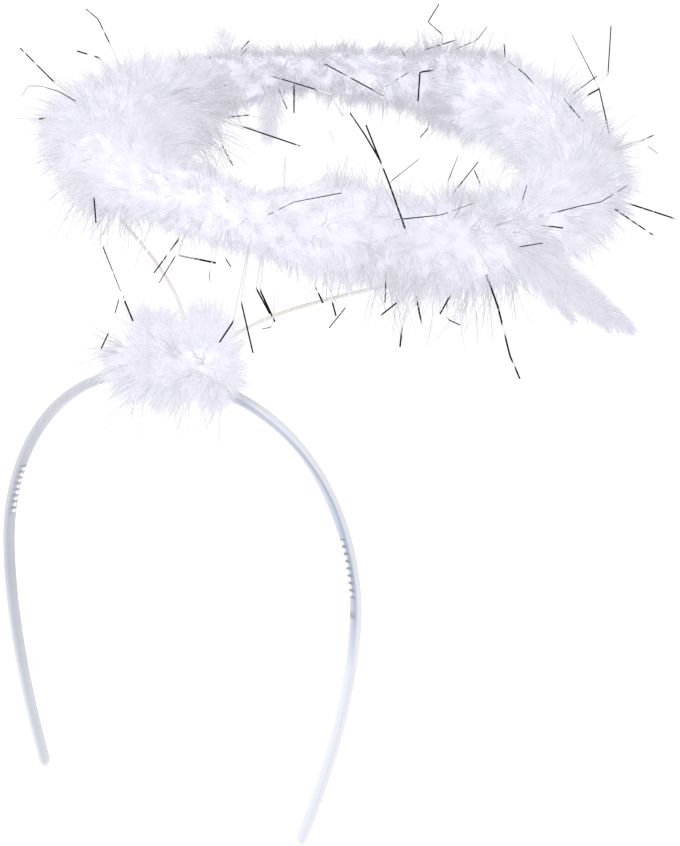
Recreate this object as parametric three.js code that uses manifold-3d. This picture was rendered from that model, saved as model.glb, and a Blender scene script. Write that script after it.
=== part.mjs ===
// A halo headband: a white moulded headband with small grip pegs on both legs, a bent wire that rises from
// its crown in a V and carries a ring, a fluffy feather boa wound round the ring, and a feather tuft round
// the crown. Millimetres, +Z up. The origin is where the crown's underside sits on the head, -Y is the front.
import * as THREE from 'three';
import { mergeVertices } from 'three/addons/utils/BufferGeometryUtils.js';
import Module from 'manifold-3d';

const wasm = await Module();
wasm.setup();

const UP = new THREE.Vector3(0, 0, 1);
const BACK = new THREE.Vector3(0, 1, 0);
const RIGHT = new THREE.Vector3(1, 0, 0);

// Headband: the line of its inner face, its section and how far the legs turn to the front
const archHalfWidth = 63.9;
const archDrop = 61.5;
const archFullness = 0.87;
const legDrop = 73.3;
const tipInset = 16.2;
const tipCurl = 1.72;
const bandWidth = 3.8;
const bandThick = 3.15;
const leftTurn = 8;
const rightTurn = 60;
const turnFrom = 18;
const turnTo = 70;
const tipRound = 2.6;
const bandStep = 5.6;

// Grip pegs on the inner face of each leg
const pegCount = 8;
const pegPitch = 2.15;
const pegRadius = 0.8;
const pegHeight = 0.85;
const pegRoot = 0.5;
const firstPeg = 75.6;

// Wire ring and its two stems
const wireDia = 1.2;
const ringRadius = 80;
const ringBack = 84;
const ringHeight = 57.5;
const ringLean = 7.8;
const ringNod = 6.5;
const footHalf = 5;
const stemSpread = 62;
const stemRise = 20;
const stemSweep = 35;
const stemUnder = 11;
const stemReach = 33.5;

// Feather boa round the ring
const boaRadius = 16;
const boaCoreRadius = 12;
const boaBarb = 10;
const boaLockWidth = 16;
const boaStations = 31;
const boaPuffs = 12;
const boaPuffDepth = 0.1;
const plumeLength = 47;
const plumeWidth = 15;
const plumeAngle = 342;
const wispLength = 23;
const wispAngle = 153;
const hangLength = 27;
const hangAngle = 138;
const singleLockWidth = 9;
const singleDroop = 0.06;

// Feather tuft round the crown
const tuftHalf = 18;
const tuftRadius = 12;
const tuftCoreRadius = 8.5;
const tuftLift = 4;
const tuftBarb = 7;
const tuftLockWidth = 11;
const tuftStations = 5;
const tuftPlume = 11;
const tuftPlumeWidth = 13;

// Space kept between pieces that touch
const clearance = 0.3;

const radians = THREE.MathUtils.degToRad;

// A repeatable spread of values from -1 to 1
function vary(seed) {
  const wave = Math.sin(seed * 12.9898 + 4.1414) * 43758.5453;
  return 2 * (wave - Math.floor(wave)) - 1;
}

// Linear reading of one column of a table whose rows run round a full turn
function round(table, column, angle) {
  const turn = 360;
  const at = ((angle % turn) + turn) % turn;
  for (let i = 0; i < table.length; i += 1) {
    const low = table[i];
    const high = table[(i + 1) % table.length];
    const span = (high.angle - low.angle + turn) % turn;
    const along = (at - low.angle + turn) % turn;
    if (along < span) {
      return THREE.MathUtils.lerp(low[column], high[column], along / span);
    }
  }
  return table[0][column];
}

// Skins a row of equal rings of points; an open row is closed by a fan at each end, the last one at the tip
// if there is one
function loft(rings, closed, tip) {
  const sides = rings[0].length;
  const points = rings.flat();
  const faces = [];
  const rows = closed ? rings.length : rings.length - 1;
  for (let i = 0; i < rows; i += 1) {
    const low = i * sides;
    const high = ((i + 1) % rings.length) * sides;
    for (let j = 0; j < sides; j += 1) {
      const k = (j + 1) % sides;
      faces.push(low + j, low + k, high + k, low + j, high + k, high + j);
    }
  }
  if (!closed) {
    for (const start of [true, false]) {
      const ring = start ? rings[0] : rings.at(-1);
      const first = start ? 0 : (rings.length - 1) * sides;
      const middle = new THREE.Vector3();
      ring.forEach((point) => middle.addScaledVector(point, 1 / sides));
      points.push(tip && !start ? tip : middle);
      for (let j = 0; j < sides; j += 1) {
        const pair = [first + j, first + ((j + 1) % sides)];
        faces.push(...(start ? pair.reverse() : pair), points.length - 1);
      }
    }
  }
  const geometry = new THREE.BufferGeometry().setFromPoints(points);
  geometry.setIndex(faces);
  return geometry;
}

// Volume inside a closed surface, below zero where its faces point in
function signedVolume(positions, faces) {
  const [a, b, c] = [new THREE.Vector3(), new THREE.Vector3(), new THREE.Vector3()];
  let volume = 0;
  for (let i = 0; i < faces.length; i += 3) {
    a.fromArray(positions, 3 * faces[i]);
    b.fromArray(positions, 3 * faces[i + 1]);
    c.fromArray(positions, 3 * faces[i + 2]);
    volume += a.dot(b.cross(c)) / 6;
  }
  return volume;
}

function solid(geometry) {
  const bare = geometry.clone();
  bare.deleteAttribute('normal');
  bare.deleteAttribute('uv');
  const closed = mergeVertices(bare, 1e-4);
  const vertProperties = Float32Array.from(closed.attributes.position.array);
  const triVerts = Uint32Array.from(closed.index.array);
  if (signedVolume(vertProperties, triVerts) < 0) {
    triVerts.reverse();
  }
  return new wasm.Manifold(new wasm.Mesh({ numProp: 3, vertProperties, triVerts }));
}

function together(solids) {
  return solids.reduce((whole, part) => whole.add(part));
}

function node(name, body, colour, roughness, metalness) {
  const faces = body.getMesh();
  const geometry = new THREE.BufferGeometry();
  geometry.setAttribute('position', new THREE.BufferAttribute(Float32Array.from(faces.vertProperties), 3));
  geometry.setIndex(new THREE.BufferAttribute(Uint32Array.from(faces.triVerts), 1));
  geometry.computeVertexNormals();
  const material = new THREE.MeshStandardMaterial({ color: colour, roughness, metalness });
  const mesh = new THREE.Mesh(geometry, material);
  mesh.name = name;
  return mesh;
}

// The headband's inner line, from the crown to the right tip, as points at even steps of its length
function bandLine() {
  const samples = 600;
  const points = [];
  for (let i = 0; i <= samples; i += 1) {
    const turn = (Math.PI / 2) * (i / samples);
    const reach = archHalfWidth * Math.sin(turn) ** archFullness;
    points.push(new THREE.Vector3(reach, 0, -archDrop * (1 - Math.cos(turn))));
  }
  for (let i = 1; i <= samples; i += 1) {
    const share = i / samples;
    const reach = archHalfWidth - tipInset * share ** tipCurl;
    points.push(new THREE.Vector3(reach, 0, -archDrop - legDrop * share));
  }
  const lengths = [0];
  for (let i = 1; i < points.length; i += 1) {
    lengths.push(lengths[i - 1] + points[i].distanceTo(points[i - 1]));
  }
  return { points, lengths, total: lengths.at(-1) };
}

const line = bandLine();

// Place on the band at a distance from the crown, with the way to the tip and the way into the arch
function bandPlace(distance, side) {
  const found = line.lengths.findIndex((length) => length >= distance);
  const high = found < 1 ? 1 : found;
  const span = line.lengths[high] - line.lengths[high - 1];
  const share = (distance - line.lengths[high - 1]) / span;
  const spot = line.points[high - 1].clone().lerp(line.points[high], share);
  const before = line.points[Math.max(high - 12, 0)];
  const along = line.points[Math.min(high + 11, line.points.length - 1)].clone().sub(before).normalize();
  const inward = new THREE.Vector3(along.z, 0, -along.x);
  for (const vector of [spot, along, inward]) {
    vector.x *= side;
  }
  if (distance === 0) {
    along.set(side, 0, 0);
    inward.set(0, 0, -1);
  }
  return { spot, along, inward };
}

// The band's own axes at a distance from the crown: the legs turn their inner face towards the front, the
// right one further than the left
function bandAxes(distance, side) {
  const { spot, along, inward } = bandPlace(distance, side);
  const fullTurn = side < 0 ? leftTurn : rightTurn;
  const turn = radians(fullTurn * THREE.MathUtils.smoothstep(distance, turnFrom, turnTo));
  const faceOut = inward.clone().multiplyScalar(Math.cos(turn)).addScaledVector(BACK, -Math.sin(turn));
  const across = BACK.clone().multiplyScalar(Math.cos(turn)).addScaledVector(inward, Math.sin(turn));
  const centre = spot.clone().addScaledVector(inward, -bandThick / 2);
  return { centre, along, faceOut, across };
}

// Half of the D section, flat inside and crowned outside: shares of the band's width and thickness
const bandSection = [
  { across: 0.42, depth: 0 },
  { across: 0.5, depth: 0.16 },
  { across: 0.455, depth: 0.52 },
  { across: 0.28, depth: 0.86 },
  { across: 0, depth: 1 },
];

function bandRing(distance, side, scale, grow) {
  const { centre, faceOut, across } = bandAxes(distance, side);
  const upward = bandSection.slice(0, -1).reverse();
  const mirrored = upward.map((row) => ({ across: -row.across, depth: row.depth }));
  return [...bandSection, ...mirrored].map((row) => {
    const wide = row.across * (bandWidth + 2 * grow) * scale;
    const deep = (row.depth - 0.5) * (bandThick + 2 * grow) * scale;
    return centre.clone().addScaledVector(across, wide).addScaledVector(faceOut, -deep);
  });
}

// Distances of the band's rings: even steps, then a rounded tip
function bandStations() {
  const straight = line.total - tipRound;
  const steps = Math.round(straight / bandStep);
  const rows = [];
  for (let i = 0; i <= steps; i += 1) {
    rows.push({ distance: (straight * i) / steps, scale: 1 });
  }
  for (const share of [0.5, 0.82, 0.98]) {
    rows.push({ distance: straight + tipRound * share, scale: Math.sqrt(1 - share * share) });
  }
  return rows;
}

const rightRows = bandStations();
const bandRings = [
  ...rightRows.slice(1).reverse().map((row) => bandRing(row.distance, -1, row.scale, 0)),
  ...rightRows.map((row) => bandRing(row.distance, 1, row.scale, 0)),
];

// A round peg with a domed end, standing on the inner face
function peg(distance, side) {
  const { centre, along, faceOut } = bandAxes(distance, side);
  const profile = [
    new THREE.Vector2(0, -pegRoot),
    new THREE.Vector2(pegRadius, -pegRoot),
    new THREE.Vector2(pegRadius, pegHeight - 0.6 * pegRadius),
    new THREE.Vector2(0.66 * pegRadius, pegHeight - 0.15 * pegRadius),
    new THREE.Vector2(0, pegHeight),
  ];
  const geometry = new THREE.LatheGeometry(profile, 8);
  const side3 = new THREE.Vector3().crossVectors(faceOut, along);
  const seat = centre.clone().addScaledVector(faceOut, bandThick / 2);
  const frame = new THREE.Matrix4().makeBasis(along, faceOut, side3.negate()).setPosition(seat);
  return solid(geometry.applyMatrix4(frame));
}

const pegs = [];
for (const side of [-1, 1]) {
  for (let i = 0; i < pegCount; i += 1) {
    pegs.push(peg(firstPeg + i * pegPitch, side));
  }
}
const headband = together([solid(loft(bandRings, false)), ...pegs]);

// The ring's own axes: it leans to the right and nods to the front
const ringAcross = RIGHT.clone().applyAxisAngle(BACK, radians(ringLean));
const ringNormal = UP.clone().applyAxisAngle(RIGHT, radians(ringNod)).applyAxisAngle(BACK, radians(ringLean));
const ringAway = new THREE.Vector3().crossVectors(ringNormal, ringAcross).normalize();
const ringCentre = new THREE.Vector3(0, ringBack, ringHeight);
const front = 270;

function ringOut(angle) {
  const turn = radians(angle);
  return ringAcross.clone().multiplyScalar(Math.cos(turn)).addScaledVector(ringAway, Math.sin(turn));
}

function ringPoint(angle) {
  return ringCentre.clone().addScaledVector(ringOut(angle), ringRadius);
}

function ringTube(radius, sides, steps) {
  const geometry = new THREE.TorusGeometry(ringRadius, radius, sides, steps);
  const frame = new THREE.Matrix4().makeBasis(ringAcross, ringAway, ringNormal).setPosition(ringCentre);
  return solid(geometry.applyMatrix4(frame));
}

function polygon(radius, sides) {
  const shape = new THREE.Shape();
  for (let i = 0; i < sides; i += 1) {
    const turn = (2 * Math.PI * i) / sides;
    const [x, y] = [radius * Math.cos(turn), radius * Math.sin(turn)];
    if (i === 0) {
      shape.moveTo(x, y);
    } else {
      shape.lineTo(x, y);
    }
  }
  shape.closePath();
  return shape;
}

function tube(path, radius, sides, steps) {
  const settings = { steps, extrudePath: path, bevelEnabled: false };
  return solid(new THREE.ExtrudeGeometry(polygon(radius, sides), settings));
}

// The wire's foot lies along the crown; each stem sweeps back and up from it, then runs out to the ring
const footLift = bandThick + clearance + wireDia / 2;

function stemPath(side) {
  const foot = new THREE.Vector3(side * footHalf, 0, footLift);
  const end = ringPoint(front + side * stemSpread);
  const lower = new THREE.Vector3(side * footHalf / 2, stemSweep, footLift + stemRise);
  const upper = end.clone().sub(new THREE.Vector3(0, stemReach, stemUnder));
  return new THREE.CubicBezierCurve3(foot, lower, upper, end);
}

function wire(radius, sides) {
  const half = new THREE.Vector3(footHalf + radius / 2, 0, footLift);
  const foot = new THREE.LineCurve3(half.clone().multiply(new THREE.Vector3(-1, 1, 1)), half);
  const stems = [-1, 1].map((side) => tube(stemPath(side), radius, sides, 15));
  return together([tube(foot, radius, sides, 1), ...stems]);
}

const haloWire = together([ringTube(wireDia / 2, 6, 54), wire(wireDia / 2, 6)]);
const wireBore = wireDia / 2 + 1.6 * clearance;

// A pointed lock of barbs: a bent five-sided cone whose broad end is buried in the core that it grows from
const lockShape = [
  { reach: 0, width: 1 },
  { reach: 0.58, width: 0.7 },
];

function lock(root, heading, length, width, bend) {
  const way = heading.clone().normalize();
  const helper = Math.abs(way.z) > 0.8 ? RIGHT : UP;
  const across = new THREE.Vector3().crossVectors(way, helper).normalize();
  const deep = new THREE.Vector3().crossVectors(across, way);
  const axisPoint = (reach) => {
    const point = root.clone().addScaledVector(way, length * reach);
    return point.addScaledVector(bend, length * reach ** 2);
  };
  const rings = lockShape.map((row) => {
    const centre = axisPoint(row.reach);
    const ring = [];
    for (let i = 0; i < 5; i += 1) {
      const turn = (2 * Math.PI * i) / 5;
      const point = centre.clone().addScaledVector(across, (width / 2) * row.width * Math.cos(turn));
      ring.push(point.addScaledVector(deep, (width / 2) * row.width * Math.sin(turn)));
    }
    return ring;
  });
  return solid(loft(rings, false, axisPoint(1)));
}

// The boa round the ring: its girth and how far its middle stands above and outside the wire are shares of
// boaRadius, its barbs are a share of boaBarb, and wide is how much wider than thick it is
const boaTable = [
  { angle: 0, girth: 0.96, lift: 0.12, out: -0.2, barb: 0.9, wide: 1 },
  { angle: 26, girth: 0.96, lift: 0.18, out: -0.24, barb: 0.9, wide: 1.05 },
  { angle: 46, girth: 0.94, lift: 0.26, out: -0.26, barb: 0.85, wide: 1 },
  { angle: 66, girth: 1.06, lift: 0.42, out: -0.2, barb: 0.9, wide: 1 },
  { angle: 86, girth: 1.02, lift: 0.46, out: -0.16, barb: 0.85, wide: 1 },
  { angle: 100, girth: 0.92, lift: 0.36, out: -0.06, barb: 0.75, wide: 1 },
  { angle: 112, girth: 0.62, lift: 0.26, out: 0, barb: 0.65, wide: 1 },
  { angle: 134, girth: 0.52, lift: 0.2, out: 0, barb: 0.6, wide: 1 },
  { angle: 154, girth: 0.64, lift: 0.08, out: -0.1, barb: 0.55, wide: 1.05 },
  { angle: 178, girth: 0.98, lift: -0.06, out: -0.4, barb: 0.6, wide: 1.28 },
  { angle: 206, girth: 1.06, lift: 0.06, out: -0.46, barb: 0.85, wide: 1.48 },
  { angle: 236, girth: 0.98, lift: 0.08, out: -0.34, barb: 0.8, wide: 1.22 },
  { angle: 262, girth: 0.72, lift: 0.28, out: -0.1, barb: 0.5, wide: 1 },
  { angle: 286, girth: 0.78, lift: 0.28, out: 0, barb: 0.6, wide: 1 },
  { angle: 306, girth: 1.02, lift: 0.42, out: 0, barb: 0.75, wide: 1 },
  { angle: 322, girth: 0.88, lift: 0.18, out: 0, barb: 0.85, wide: 1 },
  { angle: 344, girth: 0.9, lift: 0.06, out: -0.1, barb: 0.9, wide: 1 },
];

function boaPlace(angle) {
  const out = ringOut(angle);
  const along = new THREE.Vector3().crossVectors(ringNormal, out);
  const swell = 1 + boaPuffDepth * Math.cos(radians(angle) * boaPuffs);
  const girth = boaRadius * round(boaTable, 'girth', angle) * swell;
  const centre = ringPoint(angle).addScaledVector(ringNormal, boaRadius * round(boaTable, 'lift', angle));
  centre.addScaledVector(out, boaRadius * round(boaTable, 'out', angle));
  const wide = round(boaTable, 'wide', angle);
  return { out, along, girth, centre, wide };
}

function boaDirection(place, turn) {
  const reach = place.wide * Math.cos(turn);
  return place.out.clone().multiplyScalar(reach).addScaledVector(ringNormal, Math.sin(turn));
}

const boaRings = [];
const boaRows = 4 * boaPuffs;
for (let i = 0; i < boaRows; i += 1) {
  const place = boaPlace((360 * i) / boaRows);
  const ring = [];
  for (let j = 0; j < 8; j += 1) {
    const heading = boaDirection(place, (2 * Math.PI * j) / 8);
    const reach = place.girth * (boaCoreRadius / boaRadius) * (1 + 0.07 * vary(i * 8 + j));
    ring.push(place.centre.clone().addScaledVector(heading, reach));
  }
  boaRings.push(ring);
}

const boaLocks = [];
for (let i = 0; i < boaStations; i += 1) {
  for (let j = 0; j < 3; j += 1) {
    const seed = i * 3 + j;
    const angle = (360 * (i + 0.35 * vary(seed + 500))) / boaStations;
    const place = boaPlace(angle);
    const turn = (2 * Math.PI * (j + 0.5 * (i % 2) + 0.22 * vary(seed + 900))) / 3;
    const spoke = boaDirection(place, turn);
    const skin = place.girth * spoke.length();
    const heading = spoke.addScaledVector(place.along, 0.45 * vary(seed + 40));
    const barb = boaBarb * round(boaTable, 'barb', angle) * (0.8 + 0.2 * vary(seed + 77));
    const bend = place.along.clone().multiplyScalar(0.25 * vary(seed + 130)).addScaledVector(UP, -0.06);
    const width = boaLockWidth * round(boaTable, 'girth', angle);
    boaLocks.push(lock(place.centre, heading, skin + barb, width, bend));
  }
}

// Single feathers of the boa: the spread tail plume, a wisp standing up and one fallen inside the ring
const singles = [
  { angle: plumeAngle, length: plumeLength, width: plumeWidth, out: 0.8, along: 0.5, up: -0.35 },
  { angle: plumeAngle, length: 0.83 * plumeLength, width: plumeWidth, out: 0.75, along: 0.4, up: -0.48 },
  { angle: plumeAngle, length: 0.7 * plumeLength, width: plumeWidth, out: 0.62, along: 0.4, up: -0.66 },
  { angle: wispAngle, length: wispLength, width: singleLockWidth, out: 0.1, along: 0.2, up: 1 },
  { angle: hangAngle, length: hangLength, width: singleLockWidth, out: -0.35, along: 0.1, up: -1 },
];
for (const row of singles) {
  const place = boaPlace(row.angle);
  const heading = place.out.clone().multiplyScalar(row.out).addScaledVector(place.along, row.along);
  heading.addScaledVector(UP, row.up);
  boaLocks.push(lock(place.centre, heading, row.length, row.width, UP.clone().multiplyScalar(-singleDroop)));
}

const ringBore = ringTube(wireBore, 6, 48);
const stemBore = wire(wireBore, 6);
const boa = together([solid(loft(boaRings, true)), ...boaLocks]).subtract(ringBore).subtract(stemBore);

// The tuft's girth along the crown: shares of its half length and of its radius
const tuftTable = [
  { along: -1, girth: 0.42 },
  { along: -0.72, girth: 0.86 },
  { along: -0.3, girth: 1 },
  { along: 0, girth: 0.92 },
  { along: 0.3, girth: 1 },
  { along: 0.72, girth: 0.86 },
  { along: 1, girth: 0.42 },
];

function tuftPlace(along) {
  const side = along < 0 ? -1 : 1;
  const { spot, inward } = bandPlace(Math.abs(along) * tuftHalf, side);
  const centre = spot.clone().addScaledVector(inward, -bandThick / 2 - tuftLift);
  return { centre, outward: inward.clone().negate() };
}

function tuftDirection(place, turn) {
  return place.outward.clone().multiplyScalar(Math.sin(turn)).addScaledVector(BACK, Math.cos(turn));
}

const tuftRings = tuftTable.map((row, i) => {
  const place = tuftPlace(row.along);
  const ring = [];
  for (let j = 0; j < 8; j += 1) {
    const heading = tuftDirection(place, (2 * Math.PI * j) / 8);
    const reach = tuftCoreRadius * row.girth * (1 + 0.06 * vary(i * 8 + j));
    ring.push(place.centre.clone().addScaledVector(heading, reach));
  }
  return ring;
});

const tuftLocks = [];
for (let i = 0; i < tuftStations; i += 1) {
  for (let j = 0; j < 6; j += 1) {
    const seed = i * 6 + j;
    const along = 0.9 * ((2 * i) / (tuftStations - 1) - 1);
    const place = tuftPlace(along);
    const turn = (2 * Math.PI * (j + 0.5 * (i % 2) + 0.2 * vary(seed + 300))) / 6;
    const heading = tuftDirection(place, turn).addScaledVector(RIGHT, 0.5 * along + 0.25 * vary(seed + 61));
    const length = tuftRadius + tuftBarb * (0.85 + 0.15 * vary(seed + 19));
    const bend = RIGHT.clone().multiplyScalar(0.16 * vary(seed + 7)).addScaledVector(UP, -0.05);
    tuftLocks.push(lock(place.centre, heading, length, tuftLockWidth, bend));
  }
}
for (const side of [-1, 1]) {
  const place = tuftPlace(0.45 * side);
  const heading = place.outward.clone().addScaledVector(RIGHT, 0.25 * side);
  const bend = BACK.clone().multiplyScalar(-0.1);
  tuftLocks.push(lock(place.centre, heading, tuftRadius + tuftPlume, tuftPlumeWidth, bend));
}

// The crown of the band, grown by the clearance, opens the tuft from end to end
const boreRings = [];
const boreHalf = tuftHalf + tuftRadius + tuftBarb;
for (let i = -8; i <= 8; i += 1) {
  boreRings.push(bandRing((boreHalf * Math.abs(i)) / 8, i < 0 ? -1 : 1, 1, clearance));
}
const tuft = together([solid(loft(tuftRings, false)), ...tuftLocks])
  .subtract(solid(loft(boreRings, false)))
  .subtract(stemBore);

const halo = new THREE.Group();
halo.add(node('headband', headband, 0xe9edf4, 0.35, 0));
halo.add(node('halo_wire', haloWire, 0xe8dfc6, 0.7, 0));
halo.add(node('halo_boa', boa, 0xf3f3fb, 0.95, 0));
halo.add(node('crown_tuft', tuft, 0xf3f3fb, 0.95, 0));

export default halo;
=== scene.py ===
# A halo headband as it is sold: a moulded white band, a thread-covered wire halo on two stems, a down tuft
# round the crown, and a down boa round the halo with loose silver strands. Metres, in the model's own frame.
import math

import bpy
import numpy as np
from mathutils import Matrix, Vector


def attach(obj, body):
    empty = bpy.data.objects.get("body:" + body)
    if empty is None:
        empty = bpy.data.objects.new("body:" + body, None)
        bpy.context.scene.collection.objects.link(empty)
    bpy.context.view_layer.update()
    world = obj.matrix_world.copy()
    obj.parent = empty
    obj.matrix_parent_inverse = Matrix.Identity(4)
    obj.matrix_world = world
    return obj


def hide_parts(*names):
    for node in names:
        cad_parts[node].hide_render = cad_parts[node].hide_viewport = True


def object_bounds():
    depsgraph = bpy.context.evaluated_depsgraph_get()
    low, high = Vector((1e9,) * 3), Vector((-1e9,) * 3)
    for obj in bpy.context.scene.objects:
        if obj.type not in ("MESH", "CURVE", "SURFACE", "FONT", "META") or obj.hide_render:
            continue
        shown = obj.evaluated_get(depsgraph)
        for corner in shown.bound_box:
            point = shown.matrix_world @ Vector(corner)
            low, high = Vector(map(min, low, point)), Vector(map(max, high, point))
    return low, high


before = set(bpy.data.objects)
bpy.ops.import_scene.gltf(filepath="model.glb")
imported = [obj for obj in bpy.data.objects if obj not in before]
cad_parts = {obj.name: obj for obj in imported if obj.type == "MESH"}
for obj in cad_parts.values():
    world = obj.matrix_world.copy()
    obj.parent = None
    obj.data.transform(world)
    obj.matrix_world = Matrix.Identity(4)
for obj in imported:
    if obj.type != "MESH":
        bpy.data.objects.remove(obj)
cad_box = [list(corner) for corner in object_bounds()]


# Headband
# One moulding of white plastic: a springy arch with two legs, flat inside and crowned outside, with eight
# grip pegs on the inner face of each leg. It leaves the mould finished, with faint flow marks along it. Light
# and
# shade are painted into its colour: lighter low down and on the right leg, painted shade along the front
# edge's crease and on the inner face, painted shadow between the pegs and painted highlights on their tops.
mm = 0.001
arch_half_width = 63.9 * mm
arch_drop = 61.5 * mm
arch_fullness = 0.87
leg_drop = 73.3 * mm
tip_inset = 16.2 * mm
tip_curl = 1.72
band_wide = 3.8 * mm
band_thick = 3.15 * mm
turn_left = math.radians(8)
turn_right = math.radians(60)
turn_from = 18 * mm
turn_to = 70 * mm
tip_round = 2.4 * mm
peg_count = 8
peg_pitch = 2.15 * mm
peg_radius = 0.8 * mm
peg_height = 0.85 * mm
first_peg = 75.6 * mm
# a spot of painted shade at the small mark that the mould left under the right leg's pegs, counted in pegs
# from the first
mould_mark = 9.9
mark_half = 0.35
# the painted shade line of the crease along the front edge: where it starts to sink to the flat side, over
# how long, and how far
crease_from = 20 * mm
crease_over = 55 * mm
crease_top = 0.5
crease_sink = 0.42
# where the crease's painted shade and the inner strip's painted shade fade out near the right tip, and over
# how long
fade_from = 92 * mm
fade_over = 22 * mm
# the darker and lighter ends of the plastic's colour, between which its flow marks and painted light by place
# run
plastic_painted_shade = (0.50, 0.505, 0.55, 1)
plastic_painted_light = (0.77, 0.775, 0.81, 1)
# painted shade in the crease along the front edge
crease_painted_shade = (0.31, 0.37, 0.48, 1)
# bluish painted shade on the right leg's inner strip
inner_painted_shade = (0.52, 0.57, 0.67, 1)
# painted shadow between the pegs and at the mould mark
peg_shadow = (0.16, 0.17, 0.2, 1)
# painted highlight on the pegs' tops
peg_painted_highlight = (0.93, 0.94, 0.96, 1)
plastic_roughness = 0.3
plastic_ripple = 0.03 * mm
tip_height = -135.4 * mm
body_count = 280
# half of the section, as shares of the band's width and thickness
band_section = [(0.42, 0), (0.5, 0.16), (0.455, 0.52), (0.28, 0.86), (0, 1)]


def unit(vectors):
    return vectors / np.maximum(np.linalg.norm(vectors, axis=-1, keepdims=True), 1e-12)


def travelled(points):
    """Distance along a line at each of its points."""
    return np.concatenate([[0], np.cumsum(np.linalg.norm(np.diff(points, axis=0), axis=1))])


class Field:
    """A value, colour, direction or shader that changes over a surface: one socket in a material's nodes."""

    def __init__(self, tree, socket=None):
        self.tree = tree
        self.socket = socket

    def add(self, kind, settings, values, output=0):
        """A shader node with its settings and what goes into it, as the field that comes out of it."""
        node = self.tree.nodes.new("ShaderNode" + kind)
        for name, value in settings.items():
            setattr(node, name, value)
        for name, value in values.items():
            if isinstance(value, Field):
                self.tree.links.new(value.socket, node.inputs[name])
            else:
                node.inputs[name].default_value = value
        return Field(self.tree, node.outputs[output] if node.outputs else None)

    def math(self, operation, first, second):
        return self.add("Math", {"operation": operation}, {0: first, 1: second})

    def __add__(self, other):
        return self.math("ADD", self, other)

    __radd__ = __add__

    def __sub__(self, other):
        return self.math("SUBTRACT", self, other)

    def __rsub__(self, other):
        return self.math("SUBTRACT", other, self)

    def __mul__(self, other):
        return self.math("MULTIPLY", self, other)

    __rmul__ = __mul__

    def spread(self, low, high):
        """This value, which runs from low to high, stretched to run from 0 to 1."""
        return self.add("MapRange", {"clamp": True}, {"Value": self, "From Min": low, "From Max": high})

    def between(self, none, full):
        """The colour none where this value is 0 and full where it is 1."""
        return self.add("Mix", {"data_type": "RGBA"}, {0: self, 6: none, 7: full}, 2)


def finish_named(name):
    material = bpy.data.materials.new(name)
    material.use_nodes = True
    material.node_tree.nodes.clear()
    return material, Field(material.node_tree)


def skin(rows, sides, closed):
    """Quads round a row of rings of points."""
    high = rows if closed else rows - 1
    i, j = np.meshgrid(np.arange(high), np.arange(sides), indexing="ij")
    k, n = (i + 1) % rows, (j + 1) % sides
    return np.stack([i * sides + j, i * sides + n, k * sides + n, k * sides + j], axis=-1).reshape(-1, 4)


def joined(parts):
    """Several sets of points, quads and triangles as one."""
    points, quads, triangles, start = [], [], [], 0
    for part_points, part_quads, part_triangles in parts:
        points.append(part_points)
        quads.append(np.asarray(part_quads, int).reshape(-1, 4) + start)
        triangles.append(np.asarray(part_triangles, int).reshape(-1, 3) + start)
        start += len(part_points)
    return np.concatenate(points), np.concatenate(quads), np.concatenate(triangles)


def shape_piece(name, shape, material, node):
    """A mesh that stands for a node, which it hides, and wears the given finish."""
    points, quads, triangles = shape
    corners = np.concatenate([quads.ravel(), triangles.ravel()])
    starts = np.concatenate([4 * np.arange(len(quads)), 4 * len(quads) + 3 * np.arange(len(triangles))])
    mesh = bpy.data.meshes.new(name)
    mesh.vertices.add(len(points))
    mesh.vertices.foreach_set("co", np.asarray(points, np.float32).ravel())
    mesh.loops.add(len(corners))
    mesh.loops.foreach_set("vertex_index", corners.astype(np.int32))
    mesh.polygons.add(len(starts))
    mesh.polygons.foreach_set("loop_start", starts.astype(np.int32))
    mesh.polygons.foreach_set("use_smooth", [True] * len(starts))
    mesh.update(calc_edges=True)
    mesh.validate()
    mesh.materials.append(material)
    piece = bpy.data.objects.new(name, mesh)
    bpy.context.scene.collection.objects.link(piece)
    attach(piece, "root")
    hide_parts(node)
    return piece


def marks(piece, name, values):
    """One number at each point of a piece, for its material to read."""
    layer = piece.data.attributes.new(name, "FLOAT", "POINT")
    layer.data.foreach_set("value", np.asarray(values, np.float32))


bend_angle = np.linspace(0, math.pi / 2, 601)
leg_share = np.linspace(0, 1, 601)[1:]
inner_x = np.concatenate([arch_half_width * np.sin(bend_angle) ** arch_fullness,
                          arch_half_width - tip_inset * leg_share ** tip_curl])
inner_z = np.concatenate([-arch_drop * (1 - np.cos(bend_angle)), -arch_drop - leg_drop * leg_share])
inner_reach = travelled(np.stack([inner_x, inner_z], axis=1))


def band_place(distance):
    """The inner line at distances from the crown, below zero on the left, with the ways along and inward."""
    side = np.where(distance < 0, -1.0, 1.0)
    nearby = 1.2 * mm
    reach = np.abs(distance)
    x, z = (np.interp(reach, inner_reach, axis) for axis in (inner_x, inner_z))
    low, high = np.abs(reach - nearby), np.minimum(reach + nearby, inner_reach[-1])
    past_crown = np.where(reach < nearby, -1, 1)
    step_x = np.interp(high, inner_reach, inner_x) - past_crown * np.interp(low, inner_reach, inner_x)
    step_z = np.interp(high, inner_reach, inner_z) - np.interp(low, inner_reach, inner_z)
    along = unit(np.stack([step_x * side, 0 * step_x, step_z], axis=-1))
    inward = np.stack([along[..., 2] * side, 0 * step_x, -along[..., 0] * side], axis=-1)
    return np.stack([x * side, 0 * x, z], axis=-1), along, inward


def band_axes(distance):
    """The section's middle, the way along, the way that its flat face looks and the way across."""
    spot, along, inward = band_place(distance)
    ease = np.clip((np.abs(distance) - turn_from) / (turn_to - turn_from), 0, 1)
    ease = ease * ease * (3 - 2 * ease)
    turn = (np.where(distance < 0, turn_left, turn_right) * ease)[:, None]
    back = np.array([0.0, 1, 0])
    face_out = inward * np.cos(turn) - back * np.sin(turn)
    across = back * np.cos(turn) + inward * np.sin(turn)
    return spot - inward * band_thick / 2, along, face_out, across


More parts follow.
